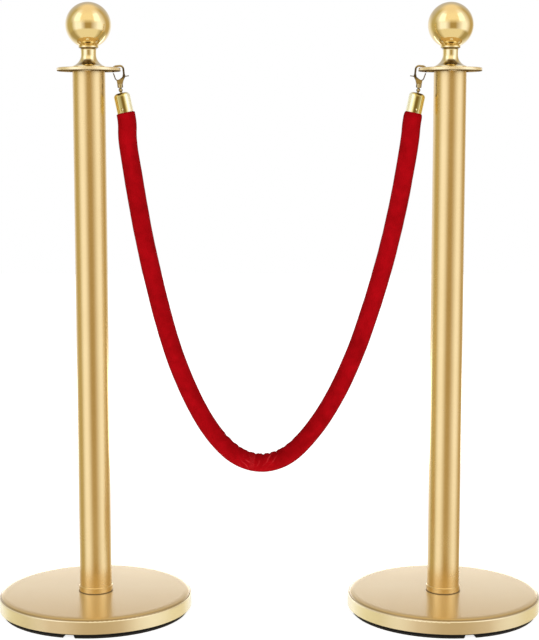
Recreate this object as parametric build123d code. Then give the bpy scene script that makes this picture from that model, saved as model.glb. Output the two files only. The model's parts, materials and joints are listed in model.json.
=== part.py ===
"""Pair of ball-top rope stanchions joined by one velvet rope with trigger snap hooks.

Row frame, in millimetres: origin on the floor midway between the posts, +X from
the left post to the right post, +Y away from the front, +Z up.
The left post and the left end of the rope are drawn; the right ones mirror them.
"""
from build123d import *
from math import cos, pi, radians, sin
import os

# ---- driving dimensions -------------------------------------------------------
POST_X = 280.0            # each post's axis, left and right of the middle

RING_R = 147.5            # rubber ring under the base
RING_WIDTH = 17.0
RING_H = 8.5
RING_GROOVE = 0.9
NOTCH_DEG = 10.0          # seam notch of the ring, outwards from the front
NOTCH_W = 20.0
NOTCH_H = 5.2

COVER_R = 154.0           # pressed base cover
COVER_TOP = 32.0
COVER_WALL = 1.0
PLATE_T = 1.2             # steel disc that closes the base from below
WEIGHT_R = 148.0
RECESS_R = 24.0           # pocket round the nut under the base
RECESS_TOP = 20.0

STUD_R = 6.0              # M12 stud that holds the post on its base
STUD_LOW = 7.0
STUD_TOP = 52.0
STUD_NUT_AF = 19.0
STUD_NUT_H = 10.0
STUD_WASHER_R = 20.0
STUD_WASHER_T = 2.0

TUBE_R = 25.4             # 50.8 mm post tube
TUBE_WALL = 1.2
TUBE_TOP = 859.0
COLLAR_R = 26.7
COLLAR_H = 10.0
PLUG_H = 18.0             # threaded plugs pressed into both ends of the tube

DISC_R = 49.5             # plate with four holes for rope hooks
DISC_T = 5.5
DISC_EDGE = 1.5
DISC_HOLE_R = 7.5
DISC_HOLE_AT = 34.8

BALL_R = 35.3
BALL_Z = 929.7
BALL_WALL = 1.2
NECK_BASE_R = 25.4
THREAD_R = 5.0            # M10 holes
SCREW_R = 4.95            # M10 finial screw, running fit in those holes
SCREW_LOW = 847.0
SCREW_TOP = 908.0
BALL_NUT_AF = 17.0
BALL_NUT_H = 8.0
WASHER_R = 23.5
WASHER_T = 0.8

KNUCKLE = (49.0, 830.0)   # ball of the swivel, from the post's axis, and its height
HOOK_TILT = 5.4           # the hook leans towards the post
CAP_TILT = 11.7           # the cap leans the other way below the knuckle
CAP_DROP = 35.2           # from the knuckle to the cap's mouth, along the cap
CAP_R = 12.8
CAP_L = 31.0
CAP_WALL = 1.0
SHOULDER_H = 6.5
SHOULDER_R = 5.6

SWIVEL_R = 1.85           # stem of the swivel
KNUCKLE_R = 3.2
FLANGE_R = 5.0            # flange that keeps the stem in the cap
FLANGE_T = 1.8
STEM_BELOW = 2.0
PIN_TOP = 7.0             # headed pin that the hook turns on
PIN_HEAD_R = 2.7
PIN_HEAD_T = 1.4
PIN_ROOM = 0.3            # room round the pin's head, in the barrel
BARREL_R = 4.3            # round end of the hook on the swivel
BARREL_LOW = 3.6
BARREL_TOP = 10.0
PIN_R = 1.4               # rivet through the cap

JAW_T = 3.2               # depth of the hook's jaw, front to back
BODY_T = 5.2              # depth of the hook's body
SLOT_T = 2.8              # slot for the gate
SLOT_LOW = 11.6
SLOT_TOP = 22.4
GATE_T = 2.2
GATE_PIVOT = (-2.6, 14.2)
GATE_PIN_R = 0.8
GATE_HUB_R = 2.0

# Outlines of the hook's pieces, (across, up) from the knuckle with the hook upright.
HOOK_OUTLINE = [(-4.0, 8), (4.2, 8), (5.6, 14), (9.6, 20.5), (9.2, 24.5), (6.2, 24.5), (4.6, 19),
                (-1.0, 16.4), (-4.6, 15.2)]
JAW_LINE = [(7.6, 22.4), (7.6, 37.2), (-8.6, 37.2), (-8.6, 28.2)]
JAW_BEND = 5.4
JAW_W = 3.0
GATE_LINE = [GATE_PIVOT, (-6.2, 17.6), (-8.5, 26.9)]
LEVER_LINE = [GATE_PIVOT, (6.8, 20.4), (15.0, 20.8)]
SPRING_LINE = [(-0.2, 12.6), (2.6, 12.7), (4.6, 17.9)]

ROPE_R = 14.5
SLEEVE_T = 2.9            # velvet and its backing
CORE_R = 11.5
CORE_IN_CAP = 22.0

# Rope centreline in the plane of the posts, (x, z), from mouth to mouth of the caps.
ROPE_ROUTE = [
    (-223.86, 795.53), (-220.66, 780.08), (-221.8, 757), (-216.5, 719), (-207, 660),
    (-194.5, 588), (-175, 500), (-151, 413), (-116.5, 331), (-86.5, 283),
    (-52, 249.5), (-12, 238), (27, 249.5), (60, 281), (97, 333),
    (134.5, 412), (163.5, 499), (187, 584), (203.5, 660), (213.5, 719),
    (219.3, 757), (220.66, 780.08), (223.86, 795.53),
]

os.makedirs("parts", exist_ok=True)


# ---- small helpers ------------------------------------------------------------
def rod(radius, low, high):
    """Upright round bar between two heights."""
    return Pos(0, 0, low) * Cylinder(radius, high - low, align=(Align.CENTER, Align.CENTER, Align.MIN))


def tube(outer, inner, low, high):
    """Upright ring or tube between two heights."""
    return rod(outer, low, high) - rod(inner, low - 1, high + 1)


def turned(*edges):
    """Solid turned about Z from an outline of edges in the XZ plane."""
    return revolve(make_face(list(edges)), Axis.Z)


def turned_points(points):
    """Solid turned about Z from a closed outline of straight lines in the XZ plane."""
    outline = Polyline(*[(r, 0, z) for r, z in points], close=True)
    return turned(*outline.edges())


def hexagon_nut(across_flats, hole_r, low, height):
    blank = extrude(Pos(0, 0, low) * RegularPolygon(across_flats / 2, 6, major_radius=False), height)
    return blank - rod(hole_r, low - 1, low + height + 1)


# ---- base ---------------------------------------------------------------------
def base_ring():
    """Rubber edge ring with a groove round it and a seam notch from below."""
    inner = RING_R - RING_WIDTH
    mid = RING_H / 2
    ring = turned_points([
        (inner, 0), (RING_R - 0.6, 0), (RING_R, 0.6),
        (RING_R, mid - RING_GROOVE), (RING_R - RING_GROOVE, mid), (RING_R, mid + RING_GROOVE),
        (RING_R, RING_H), (inner, RING_H),
    ])
    half_low = NOTCH_W / 2
    half_high = NOTCH_W / 2 - 3
    outline = Polyline(
        (-half_low, -RING_R - 5, -1), (half_low, -RING_R - 5, -1),
        (half_high, -RING_R - 5, NOTCH_H), (-half_high, -RING_R - 5, NOTCH_H), close=True)
    notch = extrude(make_face(outline.edges()), RING_WIDTH + 12, dir=(0, 1, 0))
    return ring - Rot(0, 0, -NOTCH_DEG) * notch


def cover_outline(shrink):
    """Half outline of the cover's outside, or of its inside when shrunk by the wall."""
    top = COVER_TOP - shrink
    rim = COVER_R - shrink
    flat_r = COVER_R - 12
    step_r = COVER_R - 2.6 - shrink
    step_z = COVER_TOP - 3.2 - shrink
    lip_r = 2.4
    crown = Bezier((flat_r, 0, top), (step_r - 3.5, 0, top), (step_r, 0, top - 1.2), (step_r, 0, step_z))
    ledge = Line((step_r, 0, step_z), (rim - lip_r, 0, step_z))
    lip_mid = lip_r * (1 - sin(radians(45)))
    lip = ThreePointArc((rim - lip_r, 0, step_z), (rim - lip_mid, 0, step_z - lip_mid), (rim, 0, step_z - lip_r))
    return top, flat_r, crown, ledge, lip, rim, step_z - lip_r


def cover_solid(shrink, low):
    """Full body under the cover's outside (or inside) down to a height."""
    top, flat_r, crown, ledge, lip, rim, skirt_z = cover_outline(shrink)
    return turned(
        Line((0, 0, low), (0, 0, top)), Line((0, 0, top), (flat_r, 0, top)), crown, ledge, lip,
        Line((rim, 0, skirt_z), (rim, 0, low)), Line((rim, 0, low), (0, 0, low)))


def base_cover():
    """Pressed cover: flat top, soft shoulder, fine step, rounded lip, skirt with a rolled hem."""
    shell = cover_solid(0, RING_H) - cover_solid(COVER_WALL, RING_H - 1)
    hem = Pos(0, 0, RING_H + 0.7) * Torus(COVER_R - 0.5, 0.7)
    bottom_disc_room = rod(COVER_R - COVER_WALL - 0.2, RING_H - 2, RING_H + PLATE_T)
    return shell + (hem - bottom_disc_room) - rod(STUD_R, 0, COVER_TOP + 1)


def base_weight():
    """Cast concrete disc under the cover with a pocket for the nut."""
    low = RING_H + PLATE_T
    high = COVER_TOP - COVER_WALL
    disc = chamfer(rod(WEIGHT_R, low, high).edges().group_by(Axis.Z)[-1], 6)
    return disc - rod(STUD_R, 0, high + 1) - rod(RECESS_R, 0, RECESS_TOP)


def bottom_disc():
    return tube(COVER_R - COVER_WALL - 0.3, RECESS_R, RING_H, RING_H + PLATE_T)


def base_stud():
    return chamfer(rod(STUD_R, STUD_LOW, STUD_TOP).edges(), 0.8)


def stud_washer():
    return tube(STUD_WASHER_R, STUD_R, RECESS_TOP - STUD_WASHER_T, RECESS_TOP)


def stud_nut():
    low = RECESS_TOP - STUD_WASHER_T - STUD_NUT_H
    return hexagon_nut(STUD_NUT_AF, STUD_R, low, STUD_NUT_H)


# ---- post ---------------------------------------------------------------------
def post_tube():
    return tube(TUBE_R, TUBE_R - TUBE_WALL, COVER_TOP, TUBE_TOP)


def foot_collar():
    """Trim ring round the foot of the tube."""
    ring = rod(COLLAR_R, COVER_TOP, COVER_TOP + COLLAR_H)
    ring = chamfer(ring.edges().group_by(Axis.Z)[-1], 0.9)
    return ring - rod(TUBE_R, COVER_TOP - 1, COVER_TOP + COLLAR_H + 1)


def foot_plug():
    return tube(TUBE_R - TUBE_WALL, STUD_R, COVER_TOP, COVER_TOP + PLUG_H)


def head_plug():
    return tube(TUBE_R - TUBE_WALL, THREAD_R, TUBE_TOP - PLUG_H, TUBE_TOP)


def hook_disc():
    """Flat disc on top of the tube with four holes for rope hooks."""
    disc = fillet(rod(DISC_R, TUBE_TOP, TUBE_TOP + DISC_T).edges(), DISC_EDGE)
    disc -= rod(THREAD_R + 0.3, TUBE_TOP - 1, TUBE_TOP + DISC_T + 1)
    for spot in PolarLocations(DISC_HOLE_AT, 4):
        disc -= spot * rod(DISC_HOLE_R, TUBE_TOP - 1, TUBE_TOP + DISC_T + 1)
    return disc


# ---- ball finial --------------------------------------------------------------
def finial_washer():
    low = TUBE_TOP + DISC_T
    return tube(WASHER_R, THREAD_R + 0.3, low, low + WASHER_T)


def finial_neck():
    """Turned neck: trumpet foot, waist, round bead, and a cup that seats the ball."""
    low = TUBE_TOP + DISC_T + WASHER_T
    waist_z = 884.5
    waist_r = 11.8
    bead_r = 2.4
    bead_z = 896.2
    bead_edge = 13.2
    foot = Line((NECK_BASE_R, 0, low), (NECK_BASE_R, 0, low + 1.4))
    trumpet = Bezier((NECK_BASE_R, 0, low + 1.4), (18.4, 0, low + 4.0), (waist_r, 0, low + 10.2), (waist_r, 0, waist_z))
    waist = Line((waist_r, 0, waist_z), (waist_r, 0, waist_z + 4))
    cove = Bezier((waist_r, 0, waist_z + 4), (waist_r, 0, bead_z - bead_r - 1), (bead_edge, 0, bead_z - bead_r))
    bead = ThreePointArc((bead_edge, 0, bead_z - bead_r), (bead_edge + bead_r, 0, bead_z), (bead_edge, 0, bead_z + bead_r))
    top = Polyline((bead_edge, 0, bead_z + bead_r), (0, 0, bead_z + bead_r), (0, 0, low), (NECK_BASE_R, 0, low))
    neck = turned(foot, trumpet, waist, cove, bead, *top.edges())
    neck -= Pos(0, 0, BALL_Z) * Sphere(BALL_R)
    return neck - rod(SCREW_R, low - 1, BALL_Z)


def finial_ball():
    ball = Pos(0, 0, BALL_Z) * (Sphere(BALL_R) - Sphere(BALL_R - BALL_WALL))
    return ball - rod(SCREW_R, BALL_Z - BALL_R - 5, BALL_Z)


def finial_screw():
    return chamfer(rod(SCREW_R, SCREW_LOW, SCREW_TOP).edges(), 0.6)


def ball_nut():
    """Nut inside the ball; its corners rest on the ball's inner wall."""
    corner = BALL_NUT_AF / 2 / cos(radians(30))
    low = BALL_Z - ((BALL_R - BALL_WALL) ** 2 - corner ** 2) ** 0.5
    return hexagon_nut(BALL_NUT_AF, SCREW_R, low, BALL_NUT_H)


# ---- rope end: cap, swivel and trigger snap hook ------------------------------
# The cap is drawn upright with its mouth at the origin; the hook is drawn upright
# with the knuckle's centre at the origin and the rope's middle towards +X.
def place_cap(shape):
    x = KNUCKLE[0] + CAP_DROP * sin(radians(CAP_TILT))
    z = KNUCKLE[1] - CAP_DROP * cos(radians(CAP_TILT))
    return Pos(x, 0, z) * Rot(0, -CAP_TILT, 0) * shape


def place_hook(shape):
    return Pos(KNUCKLE[0], 0, KNUCKLE[1]) * Rot(0, -HOOK_TILT, 0) * shape


def cap_half(grow):
    """Outside of the cap (grow 0), or its inside (grow minus the wall)."""
    radius = CAP_R + grow
    top = CAP_L + grow
    shoulder = Bezier(
        (radius, 0, CAP_L - SHOULDER_H), (radius, 0, top - 1.5), (SHOULDER_R + 3, 0, top), (SHOULDER_R, 0, top))
    low = 0 if grow == 0 else -1
    return turned(
        Line((0, 0, low), (radius, 0, low)), Line((radius, 0, low), (radius, 0, CAP_L - SHOULDER_H)), shoulder,
        Line((SHOULDER_R, 0, top), (0, 0, top)), Line((0, 0, top), (0, 0, low)))


def pin_spot():
    """Cross pin of the cap: near the mouth, turned a little from front to back."""
    return Pos(0, 0, 5.2) * Rot(0, 0, -16) * Rot(90, 0, 0)


def rope_cap():
    cap = cap_half(0) - cap_half(-CAP_WALL) - rod(SWIVEL_R, CAP_L - 5, CAP_L + 5)
    return cap - pin_spot() * Cylinder(PIN_R, 4 * CAP_R)


def cap_pin():
    """Rivet right through the cap and the rope's core, with low round heads."""
    shank = Cylinder(PIN_R, 2 * CAP_R)
    head = Sphere(2.2) & Pos(0, 0, 1.9) * Box(6, 6, 2.2)
    heads = Pos(0, 0, CAP_R - 0.9) * head + Pos(0, 0, 0.9 - CAP_R) * Rot(180, 0, 0) * head
    pin = pin_spot() * (shank + heads)
    return pin - (cap_half(0) - cap_half(-CAP_WALL) - pin_spot() * Cylinder(PIN_R, 4 * CAP_R))


def swivel():
    """Stem with a flange inside the cap, a round knuckle, and a headed pin in the hook."""
    under = CAP_L - CAP_WALL
    stem = rod(SWIVEL_R, under - STEM_BELOW, CAP_DROP) + rod(FLANGE_R, under - FLANGE_T, under)
    pin = rod(SWIVEL_R, 0, PIN_TOP) + rod(PIN_HEAD_R, PIN_TOP - PIN_HEAD_T, PIN_TOP)
    return place_cap(stem) + place_hook(Sphere(KNUCKLE_R) + pin)


def slab(points, radius, depth):
    """Flat plate of a polygon outline with rounded corners, centred on the XZ plane."""
    corners = [(x, 0, z) for x, z in points]
    outline = FilletPolyline(*corners, radius=radius, close=True)
    face = make_face(outline.edges())
    return extrude(face, depth / 2, dir=(0, 1, 0), both=True)


def bar_path(points, radii, width, depth):
    """Flat bar of even width along a rounded path in the XZ plane."""
    path = FilletPolyline(*[(x, 0, z) for x, z in points], radius=radii)
    section = Plane(path @ 0, x_dir=(0, 1, 0), z_dir=path % 0) * RectangleRounded(depth, width, min(depth, width) * 0.4)
    return sweep(section, path)


def across_hook(radius, length):
    """Round bar through the gate's pivot, front to back."""
    return Pos(GATE_PIVOT[0], 0, GATE_PIVOT[1]) * Rot(90, 0, 0) * Cylinder(radius, length)


def hook_body():
    """Cast hook: barrel, slotted body, outer arm and jaw that ends below the plate."""
    barrel = fillet(rod(BARREL_R, BARREL_LOW, BARREL_TOP).edges(), 0.7)
    body = slab(HOOK_OUTLINE, 1.0, BODY_T)
    body = fillet(body.edges().filter_by(Axis.Y, reverse=True), 0.5)
    jaw = bar_path(JAW_LINE, [JAW_BEND, JAW_BEND], JAW_W, JAW_T)
    slot = Pos(3.5, 0, (SLOT_LOW + SLOT_TOP) / 2) * Box(22, SLOT_T, SLOT_TOP - SLOT_LOW)
    hook = barrel + body - slot + jaw
    hook -= rod(SWIVEL_R + 0.05, 0, PIN_TOP)
    hook -= rod(PIN_HEAD_R + PIN_ROOM, PIN_TOP - PIN_HEAD_T - PIN_ROOM, PIN_TOP + PIN_ROOM)
    return hook - across_hook(GATE_PIN_R, 2 * BODY_T)


def gate_pin():
    return across_hook(GATE_PIN_R, BODY_T)


def hook_gate():
    """One bent strip on the pin: gate on the post's side, thumb lever on the other."""
    gate = bar_path(GATE_LINE, [3.0], 1.7, GATE_T)
    lever = bar_path(LEVER_LINE, [3.0], 1.5, GATE_T)
    return gate + lever + across_hook(GATE_HUB_R, GATE_T) - across_hook(GATE_PIN_R + 0.05, 2 * BODY_T)


def gate_spring():
    """Leaf spring under the lever, inside the slot."""
    return bar_path(SPRING_LINE, [1.0], 0.35, 1.8)


# ---- rope ---------------------------------------------------------------------
def route_radii(points):
    """Radius of each arc: 0.45 of the shorter run over the tangent of half the turn."""
    radii = []
    for before, here, after in zip(points, points[1:], points[2:]):
        run_in = Vector(*here) - Vector(*before)
        run_out = Vector(*after) - Vector(*here)
        half_turn = radians(run_in.get_angle(run_out)) / 2
        radii.append(0.45 * min(run_in.length, run_out.length) * cos(half_turn) / sin(half_turn))
    return radii


def rope_path(points):
    return FilletPolyline(*points, radius=route_radii(points))


def velvet_sleeve(path):
    start = Plane(path @ 0, z_dir=path % 0)
    return sweep(start * (Circle(ROPE_R) - Circle(ROPE_R - SLEEVE_T)), path)


def rope_core(path, caps):
    """Core inside the sleeve, running a little way up into both caps."""
    core = sweep(Plane(path @ 0, z_dir=path % 0) * Circle(CORE_R), path)
    for end, into in ((path @ 0, path % 0 * -1), (path @ 1, path % 1)):
        inside = extrude(Plane(end, z_dir=into) * Circle(CORE_R), CORE_IN_CAP)
        core += inside
    return core - caps


# ---- write every sub-part -----------------------------------------------------
def write(node, shape):
    export_step(shape, f"parts/{node}.step")


POST_PIECES = {
    "base_ring": base_ring, "base_cover": base_cover, "base_weight": base_weight,
    "bottom_disc": bottom_disc, "base_stud": base_stud, "stud_washer": stud_washer,
    "stud_nut": stud_nut, "tube": post_tube, "foot_collar": foot_collar,
    "foot_plug": foot_plug, "head_plug": head_plug, "hook_disc": hook_disc,
    "finial_washer": finial_washer, "finial_neck": finial_neck, "finial_ball": finial_ball,
    "finial_screw": finial_screw, "ball_nut": ball_nut,
}
CAP_PIECES = {"rope_cap": rope_cap, "cap_pin": cap_pin}
HOOK_PIECES = {"hook_body": hook_body, "gate_pin": gate_pin, "gate": hook_gate, "gate_spring": gate_spring}

left = {}
for name, make in POST_PIECES.items():
    left[name] = make()
for name, make in CAP_PIECES.items():
    left[name] = place_cap(make())
for name, make in HOOK_PIECES.items():
    left[name] = place_hook(make())
left["swivel"] = swivel()

for name, shape in left.items():
    here = Pos(-POST_X, 0, 0) * shape
    write(f"left_{name}", here)
    write(f"right_{name}", mirror(here, Plane.YZ))

route = [(x, 0, z) for x, z in ROPE_ROUTE]
path = rope_path(route)
left_pin = Pos(-POST_X, 0, 0) * left["cap_pin"]
sleeve = velvet_sleeve(path)
core = rope_core(path, left_pin + mirror(left_pin, Plane.YZ))
write("velvet_sleeve", sleeve)
write("rope_core", core)

print("rope radii, mm:", [round(r) for r in route_radii(route)])
section = pi * (ROPE_R ** 2 - (ROPE_R - SLEEVE_T) ** 2)
print(f"rope length {path.length:.1f} mm, sleeve volume {sleeve.volume:.0f}, section x length {section * path.length:.0f}")
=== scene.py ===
"""Looks of a pair of ball-top rope stanchions and their velvet rope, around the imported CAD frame."""
import json
import math

import bmesh
import bpy
import numpy as np
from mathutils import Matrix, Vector, noise


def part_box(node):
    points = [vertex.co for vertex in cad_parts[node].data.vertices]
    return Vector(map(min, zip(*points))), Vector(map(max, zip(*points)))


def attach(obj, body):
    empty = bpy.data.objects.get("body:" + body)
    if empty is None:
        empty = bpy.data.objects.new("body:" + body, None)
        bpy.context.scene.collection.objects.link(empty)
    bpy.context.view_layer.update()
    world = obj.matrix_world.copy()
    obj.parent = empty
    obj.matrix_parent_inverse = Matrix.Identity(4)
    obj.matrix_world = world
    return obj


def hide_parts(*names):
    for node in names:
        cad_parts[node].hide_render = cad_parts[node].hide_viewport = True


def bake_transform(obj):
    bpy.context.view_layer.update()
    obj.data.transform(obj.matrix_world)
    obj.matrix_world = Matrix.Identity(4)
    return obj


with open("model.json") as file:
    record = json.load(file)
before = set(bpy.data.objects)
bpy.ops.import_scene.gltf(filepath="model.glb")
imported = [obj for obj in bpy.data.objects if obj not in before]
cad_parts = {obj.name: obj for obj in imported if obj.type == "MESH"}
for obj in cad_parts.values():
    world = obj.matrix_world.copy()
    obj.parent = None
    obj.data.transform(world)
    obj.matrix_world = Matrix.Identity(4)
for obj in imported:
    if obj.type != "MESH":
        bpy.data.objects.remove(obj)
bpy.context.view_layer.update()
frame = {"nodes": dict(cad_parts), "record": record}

SIDES = ("left", "right")

# Lengths are in metres. Heights are above the floor.
POST_X = 0.28                 # each post's axis, from the middle
STEP_R = 0.1514               # radius of the fine step round the base's top
NECK_MIDDLE = 0.8845          # height where the finial's neck is narrowest
ARM_Z, JAW_Z = 0.848, 0.866   # heights where the hook's arm starts and its jaw turns over

# Rope centreline (x, z), from mouth to mouth of the caps.
ROPE_ROUTE = [
    (-0.22386, 0.79553), (-0.22066, 0.78008), (-0.2218, 0.757), (-0.2165, 0.719),
    (-0.207, 0.660), (-0.1945, 0.588), (-0.175, 0.500), (-0.151, 0.413),
    (-0.1165, 0.331), (-0.0865, 0.283), (-0.052, 0.2495), (-0.012, 0.238),
    (0.027, 0.2495), (0.060, 0.281), (0.097, 0.333), (0.1345, 0.412),
    (0.1635, 0.499), (0.187, 0.584), (0.2035, 0.660), (0.2135, 0.719),
    (0.2193, 0.757), (0.22066, 0.78008), (0.22386, 0.79553),
]
ROPE_R = 0.0145
LOW_X = -0.0120               # where the rope hangs lowest
AROUND = 96                   # points round the rope and the painted shadow rings under the foot collars

CAMERA_SPOT = (0, -2.40666, 0.76111)
CAMERA_PITCH = 83.121         # degrees up from straight down
LENS, SENSOR = 86.3, 36       # millimetres

MATT_FILL = 0.45              # strength of the world's light on matt surfaces
FLOOR_HALF = 6.0
FLOOR_GLOW = 0.8


def show(name, data):
    """A new object in the scene."""
    made = bpy.data.objects.new(name, data)
    bpy.context.scene.collection.objects.link(made)
    return made


# ---- camera ---------------------------------------------------------------------
def make_camera():
    data = bpy.data.cameras.new("camera")
    data.lens = LENS
    data.sensor_width = SENSOR
    cam = show("camera", data)
    cam.location = CAMERA_SPOT
    cam.rotation_euler = (math.radians(CAMERA_PITCH), 0, 0)
    bpy.context.scene.camera = cam


# ---- node helpers ---------------------------------------------------------------
class Nodes:
    """Short way to build one node tree."""

    def __init__(self, tree):
        self.tree = tree
        tree.nodes.clear()

    def add(self, kind, **settings):
        node = self.tree.nodes.new(kind)
        for key, value in settings.items():
            setattr(node, key, value)
        return node

    def link(self, source, target):
        self.tree.links.new(source, target)

    def put(self, socket, value):
        """A socket takes either another socket or a constant; a colour may leave out its alpha."""
        if isinstance(value, bpy.types.NodeSocket):
            self.link(value, socket)
        elif isinstance(value, tuple) and len(value) == 3:
            socket.default_value = (*value, 1)
        else:
            socket.default_value = value

    def math(self, operation, *values):
        node = self.add("ShaderNodeMath", operation=operation)
        for socket, value in zip(node.inputs, values):
            self.put(socket, value)
        return node.outputs[0]

    def product(self, first, *rest):
        for factor in rest:
            first = self.math("MULTIPLY", first, factor)
        return first

    def size(self, value):
        """A number without its sign."""
        return self.math("ABSOLUTE", value)

    def split(self, vector):
        """The x, y and z of a vector."""
        node = self.add("ShaderNodeSeparateXYZ")
        self.link(vector, node.inputs[0])
        return node.outputs

    def noise(self, where, scale, detail=3.0, roughness=0.5, distortion=0.0):
        node = self.add("ShaderNodeTexNoise")
        self.link(where, node.inputs["Vector"])
        for name, value in (("Scale", scale), ("Detail", detail), ("Roughness", roughness),
                            ("Distortion", distortion)):
            node.inputs[name].default_value = value
        return node.outputs["Fac"]

    def cells(self, where, scale):
        """Distance from the middle of each cell of a cell pattern."""
        node = self.add("ShaderNodeTexVoronoi")
        self.link(where, node.inputs["Vector"])
        node.inputs["Scale"].default_value = scale
        return node.outputs["Distance"]

    def ramp(self, fac, stops):
        """A colour for each value from 0 to 1, from (value, colour) stops."""
        node = self.add("ShaderNodeValToRGB")
        self.link(fac, node.inputs["Fac"])
        elements = node.color_ramp.elements
        while len(elements) < len(stops):
            elements.new(0.5)
        for element, (at, colour) in zip(elements, stops):
            element.position = at
            element.color = (*colour, 1)
        return node.outputs["Color"]

    def range(self, value, low, high, to_low=0, to_high=1):
        """Low to high becomes to_low to to_high, and stays there beyond either end."""
        node = self.add("ShaderNodeMapRange")
        self.link(value, node.inputs["Value"])
        for name, number in (("From Min", low), ("From Max", high),
                             ("To Min", to_low), ("To Max", to_high)):
            node.inputs[name].default_value = number
        return node.outputs["Result"]

    def mix(self, fac, a, b):
        """Colour a where fac is 0, b where it is 1."""
        node = self.add("ShaderNodeMix", data_type="RGBA")
        self.link(fac, node.inputs["Factor"])
        self.put(node.inputs[6], a)
        self.put(node.inputs[7], b)
        return node.outputs[2]

    def bump(self, height, strength, distance):
        node = self.add("ShaderNodeBump")
        node.inputs["Strength"].default_value = strength
        node.inputs["Distance"].default_value = distance
        self.link(height, node.inputs["Height"])
        return node.outputs["Normal"]

    def facing(self):
        """The x, y and z of the surface's own direction."""
        return self.split(self.add("ShaderNodeTexCoord").outputs["Normal"])


def material(name, build):
    """A Principled material whose sockets build() fills: a dict of socket name to value."""
    made = bpy.data.materials.new(name)
    made.use_nodes = True
    n = Nodes(made.node_tree)
    out = n.add("ShaderNodeOutputMaterial")
    shader = n.add("ShaderNodeBsdfPrincipled")
    where = n.add("ShaderNodeTexCoord").outputs["Object"]
    for socket, value in build(n, where).items():
        n.put(shader.inputs[socket], value)
    n.link(shader.outputs[0], out.inputs["Surface"])
    return made


# ---- metals ---------------------------------------------------------------------
def gold(light, dark, rough, rough_spread, grain, metal=1.0):
    """Lacquered gold plate: faint tint drift, rub marks in the gloss, and a fine grain."""
    def build(n, where):
        drift = n.range(n.noise(where, 9, 3, 0.55), 0.3, 0.7)
        specks = n.noise(where, 160, 2, 0.6)
        tint = n.math("MULTIPLY_ADD", specks, 0.25, n.product(drift, 0.75))
        rub = n.noise(where, 28, 5, 0.62, 0.6)
        gloss = n.range(rub, 0.3, 0.75, rough - rough_spread * 0.5, rough + rough_spread)
        fine = n.noise(where, 2600, 2, 0.5)
        return {
            "Base Color": n.mix(tint, dark, light), "Metallic": metal, "Roughness": gloss,
            "Coat Weight": 0.25, "Coat Roughness": max(0.03, rough * 0.6), "Coat IOR": 1.45,
            "Normal": n.bump(fine, grain, 0.0001),
        }
    return build


def plate_gold(n, where):
    """Satin gold, deeper on top; painted shade turns its underside a dull dark brown."""
    made = gold((0.93, 0.79, 0.50), (0.89, 0.73, 0.42), 0.24, 0.02, 0.05)(n, where)
    up = n.facing()[2]
    top_colour, underside_shade_colour = (0.70, 0.50, 0.20), (0.11, 0.065, 0.02)

    # painted shade on the underside: darker, rougher, and losing its metal, coat and specular shine
    def fades_below(value):
        return n.range(up, -0.15, -0.5, value, 0)

    under = n.range(up, -0.15, -0.5)
    colour = n.mix(n.range(up, 0.5, 0.9, 0, 0.85), made["Base Color"], top_colour)
    made["Base Color"] = n.mix(under, colour, underside_shade_colour)
    made["Metallic"] = fades_below(0.65)
    made["Coat Weight"] = fades_below(0.25)
    made["Specular IOR Level"] = fades_below(0.5)
    made["Roughness"] = n.math("MULTIPLY_ADD", under, 0.35, made["Roughness"])
    return made


def base_gold(n, where):
    """Satin gold with painted light: the top paler towards the rear, a painted highlight on the lip,
    painted shade on the skirt's front with painted highlights at its ends, and painted shade in the
    step.
    """
    made = gold((0.82, 0.64, 0.33), (0.79, 0.60, 0.30), 0.24, 0.02, 0.05, metal=0.5)(n, where)
    front_shade_colour, step_shade_colour = (0.68, 0.46, 0.155), (0.20, 0.12, 0.04)
    lip_highlight_colour = (1.0, 0.90, 0.62)
    skirt_shade_colour, skirt_end_highlight = (0.55, 0.41, 0.21), (1.0, 0.90, 0.56)
    x, y, _ = n.split(where)
    sideways, _, up = n.facing()
    out = n.math("SUBTRACT", n.size(x), POST_X)
    reach = n.math("SQRT", n.math("ADD", n.product(out, out), n.product(y, y)))

    # painted shade on the front of the top, so the rear reads paler
    front = n.range(y, 0.02, -0.14)
    colour = n.mix(n.product(front, 0.9), made["Base Color"], front_shade_colour)
    # painted shade on the front of the skirt, painted highlights on its ends
    skirt = n.mix(n.range(n.size(sideways), 0.35, 0.85), skirt_shade_colour, skirt_end_highlight)
    colour = n.mix(n.product(n.range(up, 0.8, 0.3), 0.9), colour, skirt)
    # painted highlight on the lip past the step
    lip_highlight_mask = n.range(reach, STEP_R + 0.0008, STEP_R + 0.0013, 0, 0.8)
    colour = n.mix(n.product(lip_highlight_mask, n.range(up, 0.25, 0.5)), colour, lip_highlight_colour)
    # painted shade in the step
    at_step = n.range(n.size(n.math("SUBTRACT", reach, STEP_R)), 0.0006, 0.0016, 0.6, 0)
    made["Base Color"] = n.mix(at_step, colour, step_shade_colour)
    return made


def neck_gold(n, where):
    """Polished gold with painted shade in brown under the cup and bead, and on the foot's slope where
    it faces front and back.
    """
    made = gold((0.90, 0.78, 0.46), (0.86, 0.70, 0.38), 0.07, 0.03, 0.03)(n, where)
    neck_shade_brown = (0.10, 0.055, 0.012)
    sideways, _, up = n.facing()
    height = n.split(where)[2]
    # painted shade: the foot's slope facing front and back, and every downward face
    middle = n.range(n.size(sideways), 0.5, 0.28)
    low = n.range(height, NECK_MIDDLE - 0.001, NECK_MIDDLE + 0.001, 1, 0)
    foot = n.product(low, n.range(up, 0.35, 0.5), n.range(up, 0.9, 0.8), middle)
    under = n.range(up, -0.25, -0.5, 0, 0.8)
    neck_shade = n.math("MAXIMUM", foot, under)
    made["Base Color"] = n.mix(n.product(neck_shade, 0.95), made["Base Color"], neck_shade_brown)
    return made


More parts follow.
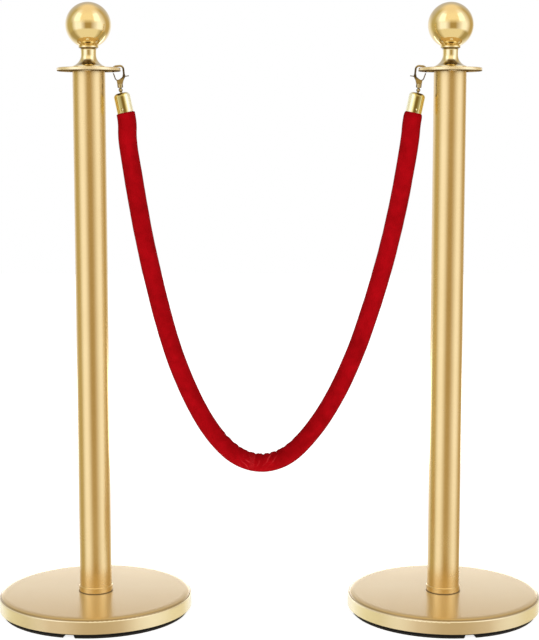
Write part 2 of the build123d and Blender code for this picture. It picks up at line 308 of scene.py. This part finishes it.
def hook_gold(n, where):
    """Cast gold with painted shade along the thin sides and on the arm; the jaw's top above the arm
    keeps the plain gold.
    """
    made = gold((0.72, 0.58, 0.30), (0.58, 0.45, 0.20), 0.20, 0.06, 0.12)(n, where)
    hook_shade_brown = (0.085, 0.055, 0.02)
    height = n.split(where)[2]
    # painted shade on the thin sides and on the arm
    thin = n.range(n.size(n.facing()[1]), 0.97, 0.6)
    arm = n.product(n.range(height, ARM_Z - 0.002, ARM_Z + 0.002),
                    n.range(height, JAW_Z - 0.002, JAW_Z + 0.001, 1, 0))
    dark = n.product(n.math("MAXIMUM", thin, arm), 0.9)
    made["Base Color"] = n.mix(dark, made["Base Color"], hook_shade_brown)
    return made


def cap_gold(n, where):
    """Polished lemon gold with a painted olive reflection in the middle, and a painted pale highlight,
    less metallic, on the side towards the rope's middle.
    """
    made = gold((0.86, 0.76, 0.34), (0.80, 0.68, 0.26), 0.07, 0.03, 0.03)(n, where)
    cap_reflection_olive, cap_highlight_pale = (0.30, 0.22, 0.05), (1.0, 0.98, 0.72)
    x = n.split(where)[0]
    inward = n.product(n.facing()[0], n.math("SIGN", x), -1.0)
    # painted reflection in the middle of the cap
    middle = n.product(n.range(inward, -0.55, -0.40), n.range(inward, 0.10, 0.28, 1, 0))
    colour = n.mix(n.product(middle, 0.8), made["Base Color"], cap_reflection_olive)
    # painted highlight on the side towards the rope's middle
    made["Base Color"] = n.mix(n.range(inward, 0.30, 0.55), colour, cap_highlight_pale)
    made["Metallic"] = n.range(inward, 0.30, 0.55, 1, 0.45)
    return made


def steel(colour, rough, flakes):
    """Zinc plating: a dull grey with a fine crystal pattern."""
    def build(n, where):
        tone = n.range(n.cells(where, flakes), 0, 0.8, 0.8, 1.08)
        darker = tuple(0.86 * c for c in colour)
        shade = n.add("ShaderNodeVectorMath", operation="SCALE")
        n.link(n.mix(n.noise(where, 60), colour, darker), shade.inputs[0])
        n.link(tone, shade.inputs["Scale"])
        return {
            "Base Color": shade.outputs[0], "Metallic": 1.0,
            "Roughness": n.range(n.noise(where, 90, 4), 0.3, 0.7, rough - 0.08, rough + 0.1),
            "Normal": n.bump(n.noise(where, 700, 3), 0.25, 0.0002),
        }
    return build


# ---- other stuffs ---------------------------------------------------------------
def rubber(n, where):
    """Black extruded rubber with dust and a fine pebble."""
    black, dusty = (0.0042, 0.0028, 0.0016), (0.034, 0.024, 0.014)
    dust = n.range(n.noise(where, 42, 6, 0.65), 0.5, 0.78)
    pebble = n.noise(where, 900, 3, 0.6)
    return {
        "Base Color": n.mix(n.product(dust, 0.35), black, dusty),
        "Roughness": n.range(pebble, 0.3, 0.7, 0.5, 0.72),
        "Specular IOR Level": 0.35,
        "Normal": n.bump(pebble, 0.35, 0.0004),
    }


def shadow_ring(n, where):
    """Painted shadow in brown, waxy, with a random tone."""
    ring_tone = n.noise(where, 160, 4)
    return {
        "Base Color": n.mix(ring_tone, (0.10, 0.06, 0.02), (0.17, 0.11, 0.04)),
        "Roughness": n.range(ring_tone, 0.3, 0.7, 0.45, 0.6),
        "Normal": n.bump(n.noise(where, 900, 2), 0.2, 0.0002),
    }


def concrete(n, where):
    """Cast concrete with pores and stones."""
    stones = n.noise(where, 55, 5, 0.6)
    holes = n.range(n.cells(where, 190), 0.05, 0.3)
    return {
        "Base Color": n.mix(stones, (0.2, 0.19, 0.175), (0.42, 0.4, 0.37)),
        "Roughness": 0.9,
        "Normal": n.bump(n.math("MULTIPLY_ADD", stones, 0.5, holes), 0.6, 0.001),
    }


def nylon(n, where):
    """Cloudy plastic washer."""
    cloud = n.noise(where, 120, 3)
    return {
        "Base Color": n.mix(cloud, (0.33, 0.27, 0.16), (0.46, 0.39, 0.26)),
        "Roughness": n.range(cloud, 0.3, 0.7, 0.35, 0.5),
        "Normal": n.bump(n.noise(where, 1400, 2), 0.1, 0.0002),
    }


def black_steel(n, where):
    """Powder-coated disc: fine orange peel and scuffs from the floor."""
    peel = n.noise(where, 500, 2)
    scuff = n.range(n.noise(where, 35, 6, 0.7, 1.2), 0.62, 0.72)
    return {
        "Base Color": n.mix(n.product(scuff, 0.6), (0.012, 0.012, 0.013), (0.11, 0.105, 0.1)),
        "Roughness": n.range(peel, 0.3, 0.7, 0.42, 0.58),
        "Normal": n.bump(peel, 0.3, 0.0006),
    }


def filling(n, where):
    """Off-white cotton rope filling."""
    fibre = n.noise(where, 420, 5, 0.7)
    return {
        "Base Color": n.mix(fibre, (0.5, 0.45, 0.38), (0.72, 0.68, 0.6)),
        "Roughness": 0.95,
        "Normal": n.bump(fibre, 0.8, 0.001),
    }


def velvet_crease_highlights(n, where):
    """Painted highlights: slanted light lines across the front of the rope's lowest bend, from 0 to
    0.7.
    """
    x, _, z = n.split(where)
    highlight_gap = 0.0095
    bend = n.product(n.range(x, LOW_X - 0.040, LOW_X - 0.022),
                     n.range(x, LOW_X + 0.010, LOW_X + 0.028, 1, 0), n.range(z, 0.30, 0.27))
    slope = n.range(x, LOW_X - 0.020, LOW_X - 0.012, 0.6, -0.7)
    lean = n.math("MULTIPLY_ADD", z, slope, x)
    wander = n.math("MULTIPLY_ADD", n.noise(where, 30, 2), 0.02, lean)
    wave = n.math("SINE", n.product(wander, 2 * math.pi / highlight_gap))
    gaps = n.range(n.noise(where, 48, 2), 0.45, 0.6)
    return n.product(bend, n.range(wave, 0.6, 0.98, 0, 0.7), gaps)


def velvet(n, where):
    """Cut pile: brushed patches of nap that lean different ways, and a short soft fibre; painted
    highlights across the lowest bend and painted shade where the surface is seen side-on.
    """
    deep, bright, pit = (0.29, 0.0012, 0.003), (0.44, 0.0022, 0.006), (0.2, 0.0008, 0.002)
    crease_highlight_red, edge_shade_red = (0.62, 0.035, 0.04), (0.13, 0.0008, 0.0015)
    patches = n.noise(where, 26, 4, 0.6, 0.8)
    nap = n.noise(where, 75, 3, 0.55, 0.4)
    fibre = n.noise(where, 1500, 3, 0.65)
    brushed = n.math("MULTIPLY_ADD", nap, 0.35, n.product(patches, 0.65))
    colour = n.mix(n.range(brushed, 0.36, 0.64), deep, bright)
    colour = n.mix(n.product(fibre, 0.3), colour, pit)
    # painted highlights across the lowest bend
    colour = n.mix(velvet_crease_highlights(n, where), colour, crease_highlight_red)
    # painted shade: darker where the surface is seen side-on
    edge = n.add("ShaderNodeLayerWeight")
    edge.inputs["Blend"].default_value = 0.35
    colour = n.mix(n.range(edge.outputs["Facing"], 0.35, 0.9, 0, 0.75), colour, edge_shade_red)
    height = n.math("MULTIPLY_ADD", nap, 1.2, n.product(fibre, 0.5))
    return {
        "Base Color": colour, "Roughness": 0.95, "Specular IOR Level": 0.04,
        "Sheen Weight": 0.04, "Sheen Roughness": 0.4, "Sheen Tint": (1.0, 0.1, 0.1),
        "Normal": n.bump(height, 0.55, 0.0006),
    }


LOOKS = {
    "satin_gold": gold((0.82, 0.62, 0.30), (0.79, 0.585, 0.27), 0.26, 0.02, 0.05),
    "base_gold": base_gold,
    "plate_gold": plate_gold,
    "neck_gold": neck_gold,
    "cap_gold": cap_gold,
    # a dark copy of the hook's gold for the gate: painted shade
    "gate_shade_gold": gold((0.24, 0.18, 0.08), (0.15, 0.105, 0.045), 0.24, 0.06, 0.10),
    "polished_gold": gold((0.87, 0.71, 0.37), (0.84, 0.66, 0.32), 0.07, 0.03, 0.03),
    "hook_gold": hook_gold,
    "zinc_steel": steel((0.62, 0.63, 0.65), 0.36, 900),
    "spring_steel": steel((0.45, 0.46, 0.49), 0.28, 2500),
    "black_steel": black_steel,
    "black_rubber": rubber,
    "shadow_ring": shadow_ring,
    "concrete": concrete,
    "clear_nylon": nylon,
    "red_velvet": velvet,
    "rope_filling": filling,
}
MATERIALS = {name: material(name, build) for name, build in LOOKS.items()}

# Pieces whose look differs a little from the rest of their slot, mostly by painted light and shade.
OWN_LOOK = {"base_cover": "base_gold", "hook_disc": "plate_gold", "finial_neck": "neck_gold",
            "rope_cap": "cap_gold", "cap_pin": "cap_gold", "gate": "gate_shade_gold"}


def dress_frame():
    """Every CAD node takes the look of its material slot, or its own variant of it."""
    for entry in frame["record"]["subparts"]:
        node = frame["nodes"][entry["node"]]
        kind = entry["node"].split("_", 1)[1]
        node.data.materials.clear()
        node.data.materials.append(MATERIALS[OWN_LOOK.get(kind, entry["material_slot"])])


# ---- leaf springs, cut across into parts ------------------------------------------
def make_leaf_springs():
    """Each leaf spring is copied from its CAD node and cut across into parts; the node is hidden."""
    lengths = 12                  # the leaf is cut across into this many parts
    for side in SIDES:
        node = f"{side}_gate_spring"
        low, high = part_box(node)
        mesh = frame["nodes"][node].data.copy()
        fine = bmesh.new()
        fine.from_mesh(mesh)
        for step in range(1, lengths):
            level = low.z + (high.z - low.z) * step / lengths
            bmesh.ops.bisect_plane(fine, geom=[*fine.verts, *fine.edges, *fine.faces],
                                   plane_co=(0, 0, level), plane_no=(0, 0, 1))
        fine.to_mesh(mesh)
        fine.free()
        leaf = show(f"{side}_leaf_spring", mesh)
        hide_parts(node)
        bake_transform(leaf)


# ---- painted shadow rings, which the frame leaves to this file --------------------
def lathe(name, outline, centre):
    """Closed ring of a smooth (radius, height) outline turned about an upright axis."""
    turns = np.arange(AROUND) * 2 * math.pi / AROUND
    verts = [(centre[0] + r * math.cos(a), centre[1] + r * math.sin(a), z)
             for a in turns for r, z in outline]
    size = len(outline)
    faces = []
    for i in range(AROUND):
        here, there = i * size, (i + 1) % AROUND * size
        for j in range(size):
            after = (j + 1) % size
            faces.append((here + j, there + j, there + after, here + after))
    mesh = bpy.data.meshes.new(name)
    mesh.from_pydata(verts, [], faces)
    mesh.shade_smooth()
    return show(name, mesh)


def make_foot_shadow_rings():
    """Thin dark ring under each foot collar, no real part: a painted shadow that shows as a line."""
    bead, height, clear, points = 0.0006, 0.0011, 0.0001, 16
    for side in SIDES:
        low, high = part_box(f"{side}_foot_collar")
        radius = (high.x - low.x) / 2 + clear
        half = height / 2
        outline = []
        for step in range(points):
            a = step * 2 * math.pi / points
            outline.append((radius + bead * math.cos(a), low.z + half + half * math.sin(a)))
        centre = ((low.x + high.x) / 2, (low.y + high.y) / 2)
        ring = lathe(f"{side}_foot_gasket", outline, centre)
        ring.data.materials.append(MATERIALS["shadow_ring"])
        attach(ring, "root")


# ---- velvet rope ----------------------------------------------------------------
# Creases across the inside of the bottom bend: metres past the lowest point,
# depth and half width in millimetres, and slant.
CREASES = [
    (-0.078, 0.9, 3.0, 0.35), (-0.060, 0.55, 3.4, -0.25), (-0.046, 0.7, 2.6, -0.5),
    (-0.026, 0.8, 2.4, 0.15), (-0.011, 1.3, 2.2, -0.2), (0.003, 1.5, 2.0, 0.1),
    (0.017, 1.6, 2.1, -0.45), (0.030, 1.1, 2.4, -0.3), (0.047, 0.6, 3.0, 0.3),
    (0.064, 0.45, 3.6, -0.2),
]
# Radius of each ring that closes an end under its cap, and how far beyond the end it lies.
TUCK = [(0.0119, 0.0), (0.0113, 0.0018), (0.006, 0.002), (0.0015, 0.002)]


def route_line():
    """Points along the smooth line through the rope's route."""
    curve = bpy.data.curves.new("rope_line", "CURVE")
    curve.dimensions = "3D"
    spline = curve.splines.new("NURBS")
    spline.points.add(len(ROPE_ROUTE) - 1)
    for point, (x, z) in zip(spline.points, ROPE_ROUTE):
        point.co = (x, 0, z, 1)
    spline.order_u = 3
    spline.use_endpoint_u = True
    spline.resolution_u = 36
    holder = show("rope_line", curve)
    line = bpy.data.meshes.new_from_object(holder)
    points = np.array([v.co for v in line.vertices], float)
    bpy.data.objects.remove(holder)
    return points


def sleeve_radius(s, total, lowest, angle):
    """The sleeve's radius at each angle round the rope, s metres from its left end."""
    inside, back = np.cos(angle), np.sin(angle)
    radius = np.full(AROUND, ROPE_R)
    # the sleeve is never quite even
    for a in range(AROUND):
        for along, shift, across, rise in ((22, 0, 0.55, 0.00034), (75, 9, 1.3, 0.00016)):
            where = Vector((s * along + shift, inside[a] * across, back[a] * across))
            radius[a] += rise * noise.noise(where)
    for at, depth, width, slant in CREASES:
        lean = s - lowest - at - slant * 0.014 * back
        fold = np.exp(-((lean * 1000 / width) ** 2))
        swell = np.exp(-(((np.abs(lean) * 1000 - 2.1 * width) / (1.1 * width)) ** 2))
        side = np.clip((inside + 0.35) / 1.35, 0, 1) ** 1.6
        radius += 0.001 * depth * side * (0.42 * swell - 0.85 * fold)
    # left end: cut nearly square; right end: drawn in over a wider shoulder
    for reach, shoulder, pleats in ((s, 0.0022, 0.3), (total - s, 0.0078, 0.8)):
        if reach < 0.03:
            pucker = np.cos(13 * angle + 2 * np.sin(angle * 2)) * np.exp(-reach / 0.006)
            radius += 0.00018 * pleats * pucker
        if reach < shoulder:
            t = 1 - reach / shoulder
            radius *= 1 - 0.17 * (1 - math.sqrt(max(0.0, 1 - t * t)))
    return radius


def sleeve_mesh(rings):
    """A tube through the rings, closed by a face at each end."""
    faces = []
    for r in range(len(rings) - 1):
        here, there = r * AROUND, (r + 1) * AROUND
        for a in range(AROUND):
            b = (a + 1) % AROUND
            faces.append((here + a, here + b, there + b, there + a))
    last = (len(rings) - 1) * AROUND
    faces.append(tuple(range(AROUND)))
    faces.append(tuple(reversed(range(last, last + AROUND))))
    mesh = bpy.data.meshes.new("velvet_rope")
    mesh.from_pydata([tuple(v) for v in np.concatenate(rings)], [], faces)
    mesh.validate()
    mesh.shade_smooth()
    return mesh


def make_rope():
    """Velvet sleeve as a tube of rings: puckered ends, creases inside the bottom bend."""
    line = route_line()
    along = np.concatenate([[0], np.cumsum(np.linalg.norm(np.diff(line, axis=0), axis=1))])
    tangent = np.gradient(line, along, axis=0)
    tangent /= np.linalg.norm(tangent, axis=1)[:, None]
    inward = np.stack([-tangent[:, 2], np.zeros(len(line)), tangent[:, 0]], 1)
    lowest = along[np.argmin(line[:, 2])]
    # round the rope, the cosine points to the inside of the bend and the sine to the back
    angle = np.arange(AROUND) * 2 * math.pi / AROUND
    inside, back = np.cos(angle), np.sin(angle)

    def ring(i, radius, beyond=0.0):
        spot = line[i] + beyond * tangent[i]
        return spot + np.outer(radius * inside, inward[i]) + np.outer(radius * back, (0, 1, 0))

    rings = [ring(0, radius, -beyond) for radius, beyond in reversed(TUCK)]
    rings += [ring(i, sleeve_radius(s, along[-1], lowest, angle)) for i, s in enumerate(along)]
    rings += [ring(-1, radius, beyond) for radius, beyond in TUCK]

    rope = show("velvet_rope", sleeve_mesh(rings))
    rope.data.materials.append(MATERIALS["red_velvet"])
    rope.visible_glossy = False
    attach(rope, "rope")
    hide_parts("velvet_sleeve", "rope_core")


# ---- studio ---------------------------------------------------------------------
WHITE, SOFT, SKY = (1.25, 1.30, 1.48), (1.0, 1.0, 1.05), (1.05, 0.90, 0.70)
WARM, OLIVE, BROWN = (0.58, 0.45, 0.235), (0.58, 0.50, 0.265), (0.48, 0.355, 0.16)
DIM, HAZE = (0.62, 0.60, 0.62), (1.12, 1.0, 0.76)
SHADE, PAPER, PLAIN = (0.46, 0.38, 0.20), (0.96, 0.90, 0.74), (1.0, 1.0, 1.0)
WINDOW = (1.6, 1.6, 1.7)
# The world's colour at each direction, in degrees from -y round to +x.
LEVEL_BAND = [
    (-180, SOFT), (-140, SOFT), (-114, OLIVE), (-84, OLIVE), (-58, WHITE), (-34, WHITE),
    (-6, BROWN), (18, BROWN), (58, WHITE), (76, WHITE), (110, WARM), (132, WARM),
    (154, SOFT), (180, SOFT),
]
UPPER_BAND = [
    (-180, DIM), (-140, DIM), (-100, OLIVE), (-62, WHITE), (-34, HAZE), (34, HAZE),
    (62, WHITE), (110, WARM), (150, DIM), (180, DIM),
]
FLOOR_BAND = [
    (-180, PLAIN), (-150, PLAIN), (-112, SHADE), (-84, SHADE), (-58, PAPER), (58, PAPER),
    (84, SHADE), (112, SHADE), (150, PLAIN), (180, PLAIN),
]
WINDOW_TURNS = (-53, 55)      # degrees; where the two soft windows stand
WINDOW_RISE = 33.0            # degrees above level


def studio_colour(n):
    """Light by direction: pale panels left and right, warm gaps between them, a light floor."""
    x, y, z = n.split(n.add("ShaderNodeTexCoord").outputs["Generated"])
    turn = n.math("ARCTAN2", x, n.product(y, -1.0))
    rise = n.product(n.math("ARCSINE", z), 180 / math.pi)
    whole_turn = n.math("MULTIPLY_ADD", turn, 0.5 / math.pi, 0.5)

    def band(stops):
        return n.ramp(whole_turn, [((degrees + 180) / 360, colour) for degrees, colour in stops])

    def window(degrees):
        off = n.size(n.math("SUBTRACT", turn, math.radians(degrees)))
        up = n.size(n.math("SUBTRACT", rise, WINDOW_RISE))
        return n.product(n.range(off, math.radians(12), math.radians(21), 1, 0),
                         n.range(up, 13, 22, 1, 0))

    colour = n.mix(n.range(rise, 4, 26), band(LEVEL_BAND), band(UPPER_BAND))
    colour = n.mix(n.range(rise, 48, 72), colour, SKY)
    colour = n.mix(n.math("ADD", *map(window, WINDOW_TURNS)), colour, WINDOW)
    return n.mix(n.range(rise, -17, -25), colour, band(FLOOR_BAND))


def make_world():
    """White behind the object, an even fill on matt surfaces, the studio in reflections."""
    world = bpy.data.worlds.new("studio")
    bpy.context.scene.world = world
    world.use_nodes = True
    n = Nodes(world.node_tree)
    out = n.add("ShaderNodeOutputWorld")

    def light(colour, strength=1.0):
        node = n.add("ShaderNodeBackground")
        n.put(node.inputs["Color"], colour)
        node.inputs["Strength"].default_value = strength
        return node.outputs[0]

    def pick(fac, first, second):
        node = n.add("ShaderNodeMixShader")
        for socket, source in zip(node.inputs, (fac, first, second)):
            n.link(source, socket)
        return node.outputs[0]

    ray = n.add("ShaderNodeLightPath").outputs
    lit = pick(ray["Is Diffuse Ray"], light(studio_colour(n)), light((1.0, 0.98, 0.95), MATT_FILL))
    n.link(pick(ray["Is Camera Ray"], lit, light((1, 1, 1))), out.inputs["Surface"])


def area_light(name, spot, aim, size, power):
    data = bpy.data.lights.new(name, "AREA")
    data.shape = "RECTANGLE"
    data.size, data.size_y = size
    data.energy = power
    lamp = show(name, data)
    lamp.location = spot
    lamp.rotation_euler = (Vector(aim) - Vector(spot)).to_track_quat("-Z", "Y").to_euler()
    return lamp


def make_lights():
    # a broad front light for the cloth and rubber, left out of the metal's reflections
    front = area_light("front_light", spot=(0, -3.2, 1.9), aim=(0, 0, 0.5),
                       size=(2.6, 1.6), power=34)
    front.visible_glossy = False
    # a low bright strip behind, which lightens the rear of the base tops
    strip = area_light("low_strip", spot=(0, 0.95, 0.13), aim=(0, 0, 0.13),
                       size=(1.7, 0.22), power=2.1)
    strip.visible_camera = False
    strip.visible_diffuse = False


def make_floor():
    """A pale floor that glows a little, so that it stays near white under the bases."""
    made = bpy.data.materials.new("pale_floor")
    made.use_nodes = True
    n = Nodes(made.node_tree)
    out = n.add("ShaderNodeOutputMaterial")
    paper = n.add("ShaderNodeBsdfDiffuse")
    paper.inputs["Color"].default_value = (0.9, 0.9, 0.9, 1)
    glow = n.add("ShaderNodeEmission")
    glow.inputs["Strength"].default_value = FLOOR_GLOW
    both = n.add("ShaderNodeAddShader")
    n.link(paper.outputs[0], both.inputs[0])
    n.link(glow.outputs[0], both.inputs[1])
    n.link(both.outputs[0], out.inputs["Surface"])

    mesh = bpy.data.meshes.new("floor")
    corners = [(x * FLOOR_HALF, y * FLOOR_HALF, 0) for x, y in ((-1, -1), (1, -1), (1, 1), (-1, 1))]
    mesh.from_pydata(corners, [], [(0, 1, 2, 3)])
    mesh.materials.append(made)
    ground = show("floor", mesh)
    ground.visible_glossy = False


make_camera()
dress_frame()
make_leaf_springs()
make_foot_shadow_rings()
make_rope()
make_world()
make_lights()
make_floor()
bpy.context.scene.view_settings.view_transform = "Standard"

bpy.context.view_layer.update()
